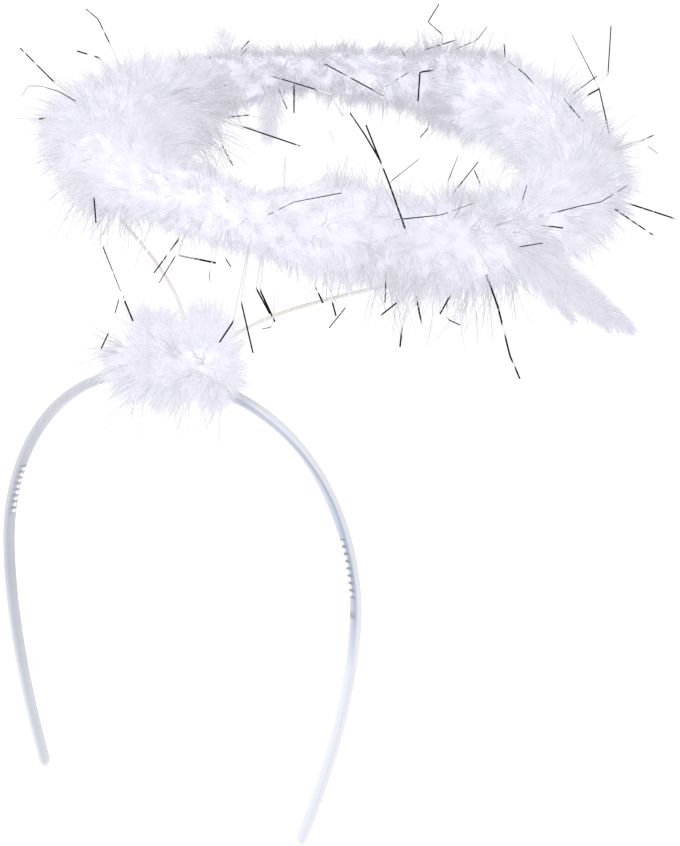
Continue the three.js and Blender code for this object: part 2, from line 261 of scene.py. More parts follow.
half = np.array(band_section)
outline = np.concatenate([half, half[-2::-1] * [-1, 1]])
for _ in range(2):
    ahead = np.roll(outline, -1, axis=0)
    outline = np.stack([0.78 * outline + 0.22 * ahead, 0.22 * outline + 0.78 * ahead], axis=1).reshape(-1, 2)
band_end = inner_reach[-1]
peg_zone = np.arange(first_peg - peg_pitch, first_peg + peg_count * peg_pitch, peg_pitch / 8)
even = np.linspace(-(band_end - tip_round), band_end - tip_round, body_count)
body_stations = np.sort(np.concatenate([even, peg_zone, -peg_zone]))
tip_shares = np.array([0.3, 0.55, 0.75, 0.9, 0.98, 0.9999])
stations = np.concatenate([-(band_end - tip_round * (1 - tip_shares[::-1])), body_stations,
                           band_end - tip_round * (1 - tip_shares)])
tip_scale = np.sqrt(1 - tip_shares ** 2)
scale = np.concatenate([tip_scale[::-1], np.ones(len(body_stations)), tip_scale])
centre, along, face_out, across = band_axes(stations)
rings = centre[:, None] + scale[:, None, None] * (
    outline[None, :, :1] * band_wide * across[:, None]
    - (outline[None, :, 1:] - 0.5) * band_thick * face_out[:, None])
band_shape = (rings.reshape(-1, 3), skin(len(stations), len(outline), False), [])
inner_face = np.clip(1 - outline[:, 1] / 0.12, 0, 1)
# the painted shade line along the crease, which sinks towards the flat side down the legs
lowered = np.clip((np.abs(stations) - crease_from) / crease_over, 0, 1)[:, None]
crease_height = crease_top - crease_sink * lowered
on_front = outline[:, 0] < 0
crease = on_front * np.exp(-(((outline[:, 1] - crease_height) / (0.1 + 0.05 * lowered)) ** 2))
# the strip that takes bluish painted shade: the flat inner face, and the front edge below the crease
inner_strip = np.maximum(inner_face, on_front * np.clip(1.2 * (crease_height - outline[:, 1]) / 0.2, 0, 0.6))
to_tip = np.clip((stations - fade_from) / fade_over, 0, 1)[:, None]
crease *= 1 - 0.85 * to_tip
inner_strip *= 1 - 0.8 * to_tip
# painted shadow between the pegs, and a spot of painted shade at the mould mark on the right leg
pegs_from_first = (np.abs(stations) - first_peg) / peg_pitch
in_row = (pegs_from_first > -0.6) & (pegs_from_first < peg_count - 0.4)
between_pegs = in_row * (0.5 - 0.5 * np.cos(2 * math.pi * pegs_from_first)) ** 2
between_pegs += (stations > 0) * np.exp(-((pegs_from_first - mould_mark) / mark_half) ** 2)

peg_sides = 14
peg_profile = [(1.12, -0.1), (1.0, 0.06), (0.98, 0.4), (0.86, 0.7), (0.62, 0.9), (0.3, 0.99), (0.01, 1.0)]
peg_turn = np.linspace(0, 2 * math.pi, peg_sides, endpoint=False)
pegs = []
for side in (-1, 1):
    places = side * (first_peg + peg_pitch * np.arange(peg_count))
    for middle, way, out, wide in zip(*band_axes(places)):
        seat = middle + out * band_thick / 2
        ring = np.cos(peg_turn)[:, None] * way + np.sin(peg_turn)[:, None] * wide
        levels = [seat + ring * peg_radius * r + out * peg_height * h for r, h in peg_profile]
        pegs.append((np.concatenate(levels), skin(len(levels), peg_sides, False), []))

plastic, face = finish_named("moulded_white_plastic")
spot = face.add("TexCoord", {}, {}, "Object")
height = face.add("SeparateXYZ", {}, {"Vector": spot}, "Z")
sideways = face.add("SeparateXYZ", {}, {"Vector": spot}, "X")
flow = face.add("Mapping", {}, {"Vector": spot, "Scale": (900, 900, 20)})
streaks = face.add("TexNoise", {}, {"Vector": flow, "Scale": 1.0, "Detail": 3.0})
clouds = face.add("TexNoise", {}, {"Vector": spot, "Scale": 60.0, "Detail": 2.0})
ripple = face.add("TexNoise", {}, {"Vector": spot, "Scale": 420.0, "Detail": 2.0})
crease_shade_mask = face.add("Attribute", {"attribute_name": "crease"}, {}, "Fac")
pegged = face.add("Attribute", {"attribute_name": "peg"}, {}, "Fac")
inner = face.add("Attribute", {"attribute_name": "inner"}, {}, "Fac")
shaded = face.add("Attribute", {"attribute_name": "between_pegs"}, {}, "Fac")
# painted light by place: the band is lighter low down and on the right leg, and the right leg's outer faces
# lighter still; the flow-mark streaks and clouds vary the tone at random
lower = height.spread(-0.07, tip_height)
on_right = sideways.spread(-0.02, 0.05)
painted_light_by_place = lower * (0.7 + 0.3 * on_right) + 0.9 * on_right * (1 - inner)
tone = (0.8 * painted_light_by_place + 0.3 * streaks + 0.25 * clouds).spread(0.2, 0.95)
# bluish painted shade on the right leg's inner strip
colour = (0.9 * inner * on_right).between(tone.between(plastic_painted_shade, plastic_painted_light), inner_painted_shade)
# painted shade along the crease, stronger on the right leg
colour = (crease_shade_mask * (0.2 + 0.65 * on_right)).between(colour, crease_painted_shade)
# painted shadow between the pegs and at the mould mark
colour = (shaded * (0.35 + 0.55 * on_right)).between(colour, peg_shadow)
sheen_map = plastic_roughness + 0.12 * (clouds - 0.5) + 0.1 * (streaks - 0.5)
uneven = ripple + 0.6 * streaks
relief = face.add("Bump", {}, {"Strength": 0.25, "Distance": plastic_ripple, "Height": uneven})
body = face.add("BsdfPrincipled", {}, {
    "Base Color": pegged.between(colour, peg_painted_highlight),
    "Roughness": sheen_map,
    "IOR": 1.49,
    "Coat Weight": 0.15,
    "Coat Roughness": 0.2,
    "Normal": relief,
})
face.add("OutputMaterial", {}, {"Surface": body})

headband = shape_piece("headband_moulding", joined([band_shape] + pegs), plastic, "headband")
band_creases = crease.ravel()
peg_points = len(headband.data.vertices) - band_creases.size
# how much painted highlight each level of a peg takes, from its seat, which keeps the band's colour, up
left_pegs = np.tile(np.repeat([0, 0, 0.15, 0.6, 1, 1, 1], peg_sides), peg_count)
right_pegs = np.tile(np.repeat([0.2, 0.4, 0.7, 0.85, 0.9, 0.9, 0.9], peg_sides), peg_count)
marks(headband, "crease", np.concatenate([band_creases, np.zeros(peg_points)]))
marks(headband, "inner", np.concatenate([inner_strip.ravel(), np.zeros(peg_points)]))
marks(headband, "peg", np.concatenate([np.zeros(band_creases.size), left_pegs, right_pegs]))
peg_shade = (between_pegs[:, None] * inner_face[None]).ravel()
marks(headband, "between_pegs", np.concatenate([peg_shade, np.zeros(peg_points)]))


# Halo wire
# A steel wire covered with cream thread that is wound round it: a ring, and two stems that sweep forward and
# down to a short foot on the crown. The ring's ends and the stems' tops are bound together inside the boa.
wire_radius = 0.6 * mm
ring_radius = 80 * mm
ring_centre = np.array([0, 84, 57.5]) * mm
ring_lean = math.radians(7.8)
ring_nod = math.radians(6.5)
foot_half = 5 * mm
foot_lift = 4 * mm
stem_spread = 62
stem_lower = np.array([2.5, 35, 24]) * mm
stem_upper = np.array([0, -33.5, -11]) * mm
thread_cream = (0.78, 0.73, 0.64, 1)
thread_pale = (0.90, 0.88, 0.83, 1)
thread_turn = 1.6 * mm
thread_ridge = 0.09
thread_fuzz = 0.05 * mm
ring_steps = 1000
stem_step = 0.4 * mm

ring_across = np.array([math.cos(ring_lean), 0, -math.sin(ring_lean)])
ring_normal = np.array([
    math.sin(ring_lean) * math.cos(ring_nod),
    -math.sin(ring_nod),
    math.cos(ring_lean) * math.cos(ring_nod),
])
ring_away = np.cross(ring_normal, ring_across)


def ring_out(degrees):
    turn = np.radians(np.asarray(degrees, float))[..., None]
    return np.cos(turn) * ring_across + np.sin(turn) * ring_away


def ring_point(degrees):
    return ring_centre + ring_radius * ring_out(degrees)


def even_steps(points, step):
    """The same line with points at even distances."""
    reach = travelled(points)
    count = int(round(reach[-1] / step)) + 1
    places = np.linspace(0, reach[-1], count)
    return np.stack([np.interp(places, reach, points[:, axis]) for axis in range(3)], axis=1)


def wound_thread(line, closed):
    """The wire's outside, with the ridge that the thread leaves as it runs round."""
    sides = 10
    ahead = np.roll(line, -1, axis=0) - np.roll(line, 1, axis=0)
    if not closed:
        ahead[0], ahead[-1] = line[1] - line[0], line[-1] - line[-2]
    way = unit(ahead)
    first = np.cross(way[0], [0.0, 0.0, 1.0])
    across = [unit(first if np.linalg.norm(first) > 0.1 else np.array([1.0, 0, 0]))]
    for step in way[1:]:
        across.append(unit(across[-1] - step * np.dot(step, across[-1])))
    across = np.array(across)
    up = np.cross(way, across)
    reach = travelled(line)
    turn = np.linspace(0, 2 * math.pi, sides, endpoint=False)[None]
    ridge = np.cos(2 * (turn - 2 * math.pi * reach[:, None] / thread_turn))
    radius = (wire_radius * (1 + thread_ridge * ridge))[..., None]
    round_it = np.cos(turn)[..., None] * across[:, None] + np.sin(turn)[..., None] * up[:, None]
    return (line[:, None] + radius * round_it).reshape(-1, 3), skin(len(line), sides, closed)


def stem_line(side):
    """One stem's curve, from its foot on the crown up to the ring."""
    foot = np.array([side * foot_half, 0, foot_lift])
    end = ring_point(270 + side * stem_spread)
    lower_pull = stem_lower * np.array([side, 1, 1])
    upper_pull = end + stem_upper
    t = np.linspace(0, 1, 200)[:, None]
    first_half = (1 - t) ** 3 * foot + 3 * t * (1 - t) ** 2 * lower_pull
    return first_half + 3 * t ** 2 * (1 - t) * upper_pull + t ** 3 * end


ring_line = ring_point(np.linspace(0, 360, ring_steps, endpoint=False))
stems_line = even_steps(np.concatenate([stem_line(-1)[::-1], stem_line(1)]), stem_step)
for _ in range(6):
    stems_line[1:-1] = (stems_line[:-2] + 2 * stems_line[1:-1] + stems_line[2:]) / 4

thread, face = finish_named("cream_thread")
spot = face.add("TexCoord", {}, {}, "Object")
lay = face.add("TexNoise", {}, {"Vector": spot, "Scale": 900.0, "Detail": 3.0})
dye = face.add("TexNoise", {}, {"Vector": spot, "Scale": 70.0, "Detail": 2.0})
fuzz = face.add("Bump", {}, {"Strength": 0.5, "Distance": thread_fuzz, "Height": lay})
body = face.add("BsdfPrincipled", {}, {
    "Base Color": (0.6 * dye + 0.5 * lay).spread(0.35, 0.75).between(thread_cream, thread_pale),
    "Roughness": 0.62 + 0.2 * lay,
    "Sheen Weight": 0.3,
    "Normal": fuzz,
})
face.add("OutputMaterial", {}, {"Surface": body})
for name, line, closed in (("halo_wire_ring", ring_line, True), ("halo_wire_stems", stems_line, False)):
    shape_piece(name, (*wound_thread(line, closed), np.zeros((0, 3), int)), thread, "halo_wire")


# Crown tuft
# A short length of down boa wound round the crown and tied there, over the wire's foot. It is made of small
# marabou feathers, whose soft barbs stand out all round, and it rises in two puffs beside the stems.
down_roughness = 0.9
down_shade = (0.5, 0.5, 0.55, 1)
thin_shade = (0.5, 0.495, 0.54, 1)
boa_white = (0.7, 0.695, 0.74, 1)
tuft_white = (0.74, 0.735, 0.775, 1)
thin_white = (0.8, 0.795, 0.84, 1)
# colours of the painted glow that the down gives off though no lamp lights it, deep in its mass and at its
# tips
painted_glow_deep = (0.69, 0.683, 0.73, 1)
painted_glow_tips = (0.665, 0.658, 0.70, 1)
tuft_half = 18 * mm
tuft_radius = 12 * mm
tuft_core = 8.5 * mm
tuft_lift = 4 * mm
tuft_shift = np.array([-1.2, 0, 0]) * mm
tuft_barb = 7 * mm
knot_radius = 1.6 * mm
knot_barbs = 12
knot_seat = 2.5 * mm
tuft_clumps = 64
clump_hairs = 4
# where down counts as deep in its mass, where it takes more painted glow: from this share of the way to the
# skin, and over this much
skin_depth = 1.45
depth_over = 0.7
tuft_hair_short = 9 * mm
tuft_hair_long = 19 * mm
barb_width = 0.24 * mm
hair_width = 0.38 * mm
# the tuft's knots: share of its half length, turn round the band, height over its middle, way the barbs
# point, their reach, spread and number
tuft_knots = [
    (-0.56, 60, 5 * mm, (-0.2, -0.1, 1), 15 * mm, 0.5, 1900),
    (0.4, 60, 5 * mm, (0.14, -0.1, 1), 20 * mm, 0.42, 2000),
    (-0.8, -150, 3 * mm, (-1, -0.5, 0.1), 9.5 * mm, 0.55, 1200),
    (-0.62, -120, 4 * mm, (-0.7, -0.6, -0.5), 11.5 * mm, 0.5, 1300),
    (-0.1, -120, 4 * mm, (-0.15, -0.6, -0.9), 11.5 * mm, 0.5, 1300),
    (0.45, 190, 6 * mm, (0.3, -1, -0.15), 13 * mm, 0.9, 1700),
    (0.75, -140, 3 * mm, (0.7, -0.6, -0.5), 10 * mm, 0.5, 1100),
    (0.85, 170, 3 * mm, (1, -0.3, 0.35), 11 * mm, 0.5, 1300),
    (-0.25, 165, 6 * mm, (-0.2, -1, 0.3), 12 * mm, 0.8, 1500),
    (0.1, 110, 5 * mm, (0, -0.5, 0.9), 10 * mm, 0.6, 1000),
    (-0.5, 20, 5 * mm, (-0.4, 1, 0.1), 13 * mm, 0.6, 1300),
    (0.4, 20, 5 * mm, (0.3, 1, 0.1), 13 * mm, 0.6, 1300),
    (0, 0, 5 * mm, (0, 0.8, -0.7), 12 * mm, 0.6, 1200),
]
down_droop = np.array([0, 0, -0.12])
back = np.array([0.0, 1, 0])


def down_finish(name, shade, light, glow):
    """Soft down: light passes through its barbs, and it glows with painted light, most where it is thick."""
    material, face = finish_named(name)
    spot = face.add("TexCoord", {}, {}, "Object")
    patches = face.add("TexNoise", {}, {"Vector": spot, "Scale": 60.0, "Detail": 2.0})
    tufts = face.add("TexNoise", {}, {"Vector": spot, "Scale": 300.0, "Detail": 1.0})
    depth = face.add("Attribute", {"attribute_name": "depth"}, {}, "Fac")
    own = face.add("Attribute", {"attribute_name": "own"}, {}, "Fac")
    tone = 0.2 * patches.spread(0.3, 0.7) + 0.3 * tufts.spread(0.3, 0.7) + 0.5 * own
    # painted glow: stronger deep in the down and in its light patches
    painted_glow_share = 0.6 * depth * (0.6 + 0.8 * patches) + 0.4 * tone
    fluff = face.add("BsdfPrincipled", {}, {
        "Base Color": tone.between(shade, light),
        "Roughness": down_roughness,
        "Specular IOR Level": 0.2,
        "Emission Color": painted_glow_share.between(painted_glow_tips, painted_glow_deep),
        "Emission Strength": glow,
    })
    through = face.add("BsdfTranslucent", {}, {"Color": light})
    soft = face.add("MixShader", {}, {0: 0.4, 1: fluff, 2: through})
    face.add("OutputMaterial", {}, {"Surface": soft})
    return material


# how strongly each down glows with painted light; the thin down of the boa's back and the loose hairs glows
# less, and so looks darker
down = down_finish("white_down", down_shade, boa_white, 0.92)
tuft_down = down_finish("white_tuft_down", down_shade, tuft_white, 0.94)
thin_down = down_finish("thin_white_down", thin_shade, thin_white, 0.48)


def ribbons(rng, roots, headings, bends, lengths, widths, steps):
    """Flat barbs that bend and taper to a point."""
    count = len(roots)
    t = np.linspace(0, 1, steps + 1)[None, :, None]
    size = lengths[:, None, None]
    sway = unit(rng.normal(size=(count, 1, 3))) * rng.uniform(0, 0.06, (count, 1, 1))
    curve = headings[:, None] * t + bends[:, None] * t ** 2 + sway * np.sin(2 * math.pi * t)
    line = roots[:, None] + size * curve
    way = unit(np.gradient(line, axis=1))
    side = unit(np.cross(way, rng.normal(size=(count, 1, 3))))
    half = widths[:, None, None] / 2 * (1 - 0.7 * t[:, :-1])
    left = line[:, :-1] + side[:, :-1] * half
    right = line[:, :-1] - side[:, :-1] * half
    points = np.concatenate([left, right, line[:, -1:]], axis=1)
    first = (2 * steps + 1) * np.arange(count)[:, None]
    k = np.arange(steps - 1)
    quads = first[..., None] + np.stack([k, k + 1, steps + k + 1, steps + k], axis=-1)
    tips = first + np.array([steps - 1, 2 * steps, 2 * steps - 1])
    return points.reshape(-1, 3), quads.reshape(-1, 4), tips


def locks(rng, roots, headings, bends, lengths, base, each):
    """Locks of down: barbs that start side by side and draw together at their tips, as on a feather."""
    lock_rows = (roots, headings, bends, lengths)
    roots, headings, bends, lengths = (np.repeat(values, each, axis=0) for values in lock_rows)
    number = len(roots)
    aside = rng.normal(size=(number, 3))
    aside -= headings * (headings * aside).sum(axis=1, keepdims=True)
    aside = unit(aside) * base * np.sqrt(rng.random((number, 1)))
    drawn = np.repeat(rng.uniform(-0.1, 1, number // each), each)[:, None]
    ways = headings - drawn * aside / lengths[:, None]
    bends = bends + rng.normal(0, 0.06, (number, 3))
    sizes = lengths * rng.uniform(0.3, 1, number) ** 0.5
    widths = barb_width * rng.uniform(0.6, 1.25, number)
    return ribbons(rng, roots + aside, ways, bends, sizes, widths, 3)


def down_piece(name, shape, node, inside, finish=down):
    """A piece of down, whose barbs catch the light as the soft mass that they make up."""
    points, quads, triangles = shape
    outward, share = inside(points)
    for faces in (quads, triangles):
        corner, second, last = points[faces[:, 0]], points[faces[:, 1]], points[faces[:, -1]]
        turned = (np.cross(second - corner, last - corner) * outward[faces[:, 0]]).sum(axis=1) < 0
        faces[turned] = faces[turned][:, ::-1]
    ends = triangles.max(axis=1) if len(triangles) else np.array([0])
    tones = rng.random(len(ends) + 1)[np.searchsorted(ends, np.arange(len(points)))]
    piece = shape_piece(name, shape, finish, node)
    piece.data.normals_split_custom_set_from_vertices(outward)
    # how deep each point lies, which sets how much painted glow it takes
    marks(piece, "depth", np.clip((skin_depth - share) / depth_over, 0, 1))
    marks(piece, "own", tones if len(triangles) else np.full(len(points), 0.7))


def crown_place(shares):
    """The tuft's middle and the way out of the arch at shares of its half length."""
    spot, _, inward = band_place(np.asarray(shares) * tuft_half)
    return spot - inward * (band_thick / 2 + tuft_lift) + tuft_shift, -inward


def tuft_inside(points):
    """The way out of the tuft at points in it, and their share of the way from its middle to its skin."""
    shares = np.clip((points[:, 0] - tuft_shift[0]) / tuft_half, -1, 1)
    middle, outward = crown_place(shares)
    spoke = points - middle
    return unit(spoke), np.linalg.norm(spoke, axis=1) / (tuft_radius + tuft_barb)


rng = np.random.default_rng(41)
sleeve_rows, sleeve_sides = 28, 36
shares = np.linspace(-1, 1, sleeve_rows)
middle, outward = crown_place(shares)
waist = 1 - 0.1 * np.exp(-(shares / 0.2) ** 2)
girth = tuft_core * (0.36 + 0.64 * np.sqrt(np.clip(1 - shares ** 4, 0, 1)) * waist)
turns = np.linspace(0, 2 * math.pi, sleeve_sides, endpoint=False)
spokes = np.cos(turns)[None, :, None] * back + np.sin(turns)[None, :, None] * outward[:, None]
sleeve = middle[:, None] + spokes * (0.8 * girth)[:, None, None]
sleeve_part = (sleeve.reshape(-1, 3), skin(sleeve_rows, sleeve_sides, False), np.zeros((0, 3), int))


def rosette(root, heading, reach, spread, number):
    """Locks that radiate from one knot of the tuft."""
    number = number // knot_barbs
    way = unit(np.array(heading, float))
    headings = unit(way + spread * rng.normal(size=(number, 3)))
    facing = np.clip(headings @ way, -0.2, 1)
    lengths = reach * (0.5 + 0.5 * facing) * rng.uniform(0.6, 1.1, number)
    roots = root + rng.normal(0, knot_radius, (number, 3)) + headings * knot_seat
    bends = rng.normal(0, 0.12, (number, 3)) + down_droop
    return locks(rng, roots, headings, bends, lengths, knot_radius, knot_barbs)


tuft_parts = []
for share, turn, lift, heading, reach, spread, number in tuft_knots:
    middle, outward = crown_place([share])
    around = math.radians(turn)
    spoke = math.cos(around) * back + math.sin(around) * outward[0]
    tuft_parts.append(rosette(middle[0] + lift * spoke, heading, reach, spread, number))
turns = rng.uniform(2.2, 4.4, tuft_clumps)
middle, outward = crown_place(rng.uniform(-1, 1, tuft_clumps))
spoke = np.cos(turns)[:, None] * back + np.sin(turns)[:, None] * outward
across = (middle - crown_place([0])[0]) / tuft_half
heading = np.repeat(unit(spoke + 0.8 * across + rng.normal(0, 0.3, spoke.shape)), clump_hairs, axis=0)
number = tuft_clumps * clump_hairs
heading = unit(heading + rng.normal(0, 0.12, heading.shape))
roots = np.repeat(middle + 0.5 * tuft_radius * spoke, clump_hairs, axis=0)
bend = rng.normal(0, 0.14, heading.shape) + 1.5 * down_droop
reach = rng.uniform(tuft_hair_short, tuft_hair_long, number)
tuft_hairs = ribbons(rng, roots, heading, bend, reach, hair_width * rng.uniform(0.7, 1.2, number), 5)
down_piece("crown_tuft_core", sleeve_part, "crown_tuft", tuft_inside, tuft_down)
down_piece("crown_tuft_down", joined(tuft_parts), "crown_tuft", tuft_inside, tuft_down)
down_piece("crown_tuft_hairs", tuft_hairs, "crown_tuft", tuft_inside, thin_down)


# Halo boa
# A marabou boa wound round the ring: feathers stitched on a cord, thick at both sides and thin at the back,
# with one end left over as a tail, a wisp that stands up at the back and a feather fallen inside the ring.
boa_radius = 16 * mm
boa_barb = 10 * mm
boa_core = 0.75
boa_puffs = 12
boa_puff_depth = 0.1
lock_base = 2.5 * mm
lock_barbs = 28
longest_barb = 14 * mm
# for each metre that a clump of hairs reaches further: more spread, droop and width
further_spread = 8
further_droop = 80
further_width = 25
# angle round the ring; girth, lift and way out as shares of boa_radius; barb as a share of boa_barb; width
# as a share of the girth
boa_shape = np.array([
    [0, 0.91, 0.15, -0.25, 0.65, 1],
    [26, 0.95, 0.16, -0.24, 0.85, 1.05],
    [46, 0.91, 0.21, -0.26, 0.8, 1],
    [66, 1.0, 0.35, -0.24, 0.8, 1],
    [86, 0.95, 0.39, -0.18, 0.75, 1],
    [100, 0.9, 0.34, -0.06, 0.75, 1],
    [112, 0.63, 0.25, 0, 0.6, 1],
    [134, 0.47, 0.23, 0, 0.55, 1],
    [154, 0.63, 0.06, -0.1, 0.55, 1.05],
    [178, 0.97, -0.1, -0.42, 0.55, 1.28],
    [206, 1.06, 0.06, -0.5, 0.7, 1.48],
    [236, 0.95, 0.12, -0.36, 0.7, 1.22],
    [262, 0.66, 0.36, -0.1, 0.4, 1],
    [286, 0.68, 0.32, 0, 0.42, 1],
    [306, 1.02, 0.42, 0, 0.75, 1],
    [322, 0.88, 0.18, 0, 0.85, 1],
    [344, 0.88, 0.08, -0.14, 0.8, 1],
])
# single feathers: angle round the ring, length, heading out, along and up, radius at the root, number of
# barbs and how far these lean out. The first four make the tail, then the wisp and the feather in the ring
boa_singles = [
    (342, 48 * mm, 0.8, 0.5, -0.365, 11 * mm, 4600, 0.7),
    (342, 42 * mm, 0.78, 0.45, -0.44, 10 * mm, 2400, 0.7),
    (342, 33 * mm, 0.68, 0.4, -0.6, 9 * mm, 1100, 0.8),
    (342, 47 * mm, 0.78, 0.48, -0.4, 16 * mm, 600, 1),
    (151, 19 * mm, 0.1, 0.3, 1, 13 * mm, 260, 1.1),
    (141, 23 * mm, -0.35, 0.15, -1, 13 * mm, 650, 0.9),
]


def boa_read(column, degrees):
    return np.interp(degrees, boa_shape[:, 0], boa_shape[:, column], period=360)


def boa_place(degrees):
    """The boa's middle, girth, way out and way along at angles round the ring."""
    out = ring_out(degrees)
    along = np.cross(ring_normal, out)
    girth = boa_radius * boa_read(1, degrees) * (1 + boa_puff_depth * np.cos(np.radians(degrees) * boa_puffs))
    lift = boa_radius * boa_read(2, degrees)[..., None] * ring_normal
    middle = ring_point(degrees) + lift + boa_radius * boa_read(3, degrees)[..., None] * out
    return middle, girth, out, along


def boa_spoke(degrees, turn, out):
    """The way from the boa's middle to its skin, longer in the ring's plane where the boa is wide."""
    wide = boa_read(5, degrees) * np.cos(turn)
    return wide[..., None] * out + np.sin(turn)[..., None] * ring_normal


def boa_inside(points):
    """The way out of the boa at points in it, and their share of the way from its middle to its skin."""
    from_centre = points - ring_centre
    degrees = np.degrees(np.arctan2(from_centre @ ring_away, from_centre @ ring_across)) % 360
    middle, girth, out, _ = boa_place(degrees)
    spoke = points - middle
    level = (spoke * out).sum(axis=1) / boa_read(5, degrees)
    upright = spoke @ ring_normal
    outward = unit(level[:, None] * out + upright[:, None] * ring_normal)
    return outward, np.hypot(level, upright) / girth


def boa_sweep(degrees, turn):
    """How the down is swept along the ring: it lies over to one side for a stretch, then to the other."""
    around = np.radians(degrees)
    wide_sweep = 0.4 * np.sin(5 * around + 1.3)
    return wide_sweep + 0.3 * np.sin(11 * around + turn) + 0.2 * np.sin(17 * around - 2 * turn)


rng = np.random.default_rng(7)
core_rows, core_sides = 300, 30
degrees = np.linspace(0, 360, core_rows, endpoint=False)
middle, girth, out, _ = boa_place(degrees)
turns = np.linspace(0, 2 * math.pi, core_sides, endpoint=False)
spokes = boa_spoke(degrees[:, None], turns[None], out[:, None])
core = middle[:, None] + spokes * (boa_core * girth)[:, None, None]
core_part = (core.reshape(-1, 3), skin(core_rows, core_sides, True), np.zeros((0, 3), int))
down_piece("boa_core", core_part, "halo_boa", boa_inside)


def boa_locks(low, high, count):
    """The down of one stretch of the boa."""
    degrees = low + (high - low) * (np.arange(count) + rng.uniform(0, 1, count)) / count
    turn = 2 * math.pi * (0.618034 * np.arange(count) + rng.uniform(0, 0.2, count))
    middle, girth, out, along = boa_place(degrees)
    spoke = boa_spoke(degrees, turn, out)
    sweep = boa_sweep(degrees, turn) + rng.normal(0, 0.15, count)
    stretch = np.linalg.norm(spoke, axis=1)
    heading = unit(unit(spoke) + sweep[:, None] * along + rng.normal(0, 0.2, (count, 3)))
    barb = boa_barb * boa_read(4, degrees) * rng.uniform(-0.05, 0.75, count)
    reach = girth * stretch * (1 - boa_core) + barb
    bend = rng.normal(0, 0.14, heading.shape) + 0.7 * down_droop
    roots = middle + spoke * (0.92 * boa_core * girth)[:, None]
    return locks(rng, roots, heading, bend, reach * np.sqrt(1 + sweep ** 2), lock_base, lock_barbs)


def boa_hairs(low, high, clumps, each, turn_low, turn_high, further):
    """Loose hairs in small clumps that stand out of a stretch of the boa, on its side between two turns."""
    degrees = rng.uniform(low, high, clumps)
    turn = rng.uniform(turn_low, turn_high, clumps)
    middle, girth, out, along = boa_place(degrees)
    spoke = boa_spoke(degrees, turn, out)
    heading = unit(spoke + boa_sweep(degrees, turn)[:, None] * along + rng.normal(0, 0.25, (clumps, 3)))
    skin_reach = girth * np.linalg.norm(spoke, axis=1)
    reach = 0.5 * skin_reach + boa_barb * boa_read(4, degrees) * rng.uniform(0.6, 1.5, clumps)
    reach += further * rng.random(clumps)
    roots = middle + heading * (0.5 * skin_reach)[:, None]
    roots, heading, reach = (np.repeat(values, each, axis=0) for values in (roots, heading, reach))
    number = clumps * each
    heading = unit(heading + rng.normal(0, 0.13, (number, 3)))
    droop = (1 + further_droop * further) * down_droop
    bend = rng.normal(0, 0.14 + further_spread * further, heading.shape) + droop
    roots = roots + rng.normal(0, 0.5 * mm, (number, 3))
    width = hair_width * (1 + further_width * further) * rng.uniform(0.6, 1.1, number)
    return ribbons(rng, roots, heading, bend, reach * rng.uniform(0.6, 1, number), width, 5)


for name, low, high, count, finish in (
    ("boa_down_right", -20, 84, 1080, down),
    ("boa_down_back", 84, 160, 560, thin_down),
    ("boa_down_left", 160, 250, 1100, down),
    ("boa_down_front", 250, 340, 900, down),
):
    down_piece(name, boa_locks(low, high, count), "halo_boa", boa_inside, finish)

# from and to round the ring, clumps, hairs in each, turns round the boa, and how much further they reach
hairs = [
    boa_hairs(0, 360, 1500, 6, 0, 2 * math.pi, 0),
    boa_hairs(160, 205, 70, 5, 2.5, 3.9, 12 * mm),
    boa_hairs(195, 250, 80, 4, -2.4, -0.7, 10 * mm),
    boa_hairs(298, 348, 40, 4, -2.4, -0.7, 9 * mm),
    boa_hairs(325, 350, 50, 5, -2.3, -0.8, 11 * mm),
    boa_hairs(290, 345, 40, 4, 0.9, 2.3, 5 * mm),
]
down_piece("boa_hairs", joined(hairs), "halo_boa", boa_inside, thin_down)

single_parts = []
single_ways = []
single_shares = []
for angle, length, outward_share, along_share, up_share, radius, count, leaning in boa_singles:
    middle, _, out, along = boa_place(float(angle))
    heading = unit(outward_share * out + along_share * along + np.array([0, 0, up_share]))
    t = np.linspace(0, 1, 40)[:, None]
    axis = middle + length * (heading * t + 0.6 * down_droop * t ** 2)
    full = radius * (1 - t[:, 0]) ** 0.75 + 0.4 * mm
    place = rng.random(count) ** 0.9 * 0.93
    start = np.stack([np.interp(place, t[:, 0], axis[:, k]) for k in range(3)], axis=1)
    way = unit(heading + 1.2 * down_droop * place[:, None])
    spoke = rng.normal(size=(count, 3))
    spoke = unit(spoke - way * (way * spoke).sum(axis=1, keepdims=True))
    lean = leaning * rng.uniform(0.43, 1.57, count)
    size = np.interp(place, t[:, 0], full) / np.sin(np.arctan(lean)) * rng.uniform(0.5, 1.1, count)
    size = np.minimum(size, np.minimum(1.15 * length * (1 - place) + 2 * mm, longest_barb))
    bend = 0.4 * down_droop - 0.15 * spoke + rng.normal(0, 0.05, start.shape)
    width = barb_width * rng.uniform(0.7, 1.2, count)
    part = ribbons(rng, start, unit(way + lean[:, None] * spoke), bend, size, width, 4)
    nearest = np.argmin(((part[0][:, None] - axis[None]) ** 2).sum(axis=2), axis=1)
    away = part[0] - axis[nearest]
    single_parts.append(part)
    single_ways.append(unit(away + 0.2 * radius * heading))
    single_shares.append(np.linalg.norm(away, axis=1) / full[nearest])
down_piece("boa_single_feathers", joined(single_parts), "halo_boa",
           lambda points: (np.concatenate(single_ways), np.concatenate(single_shares)))


# Camera
# The photograph looks at the headband from its right front and from a little above, with a long lens.
view_turn = math.radians(32)
view_rise = math.radians(15)
view_roll = math.radians(2.5)
camera_spot = np.array([457.588, -641.396, 200.355]) * mm
focal_pixels = 2715
picture_tall = 846
sensor = 36

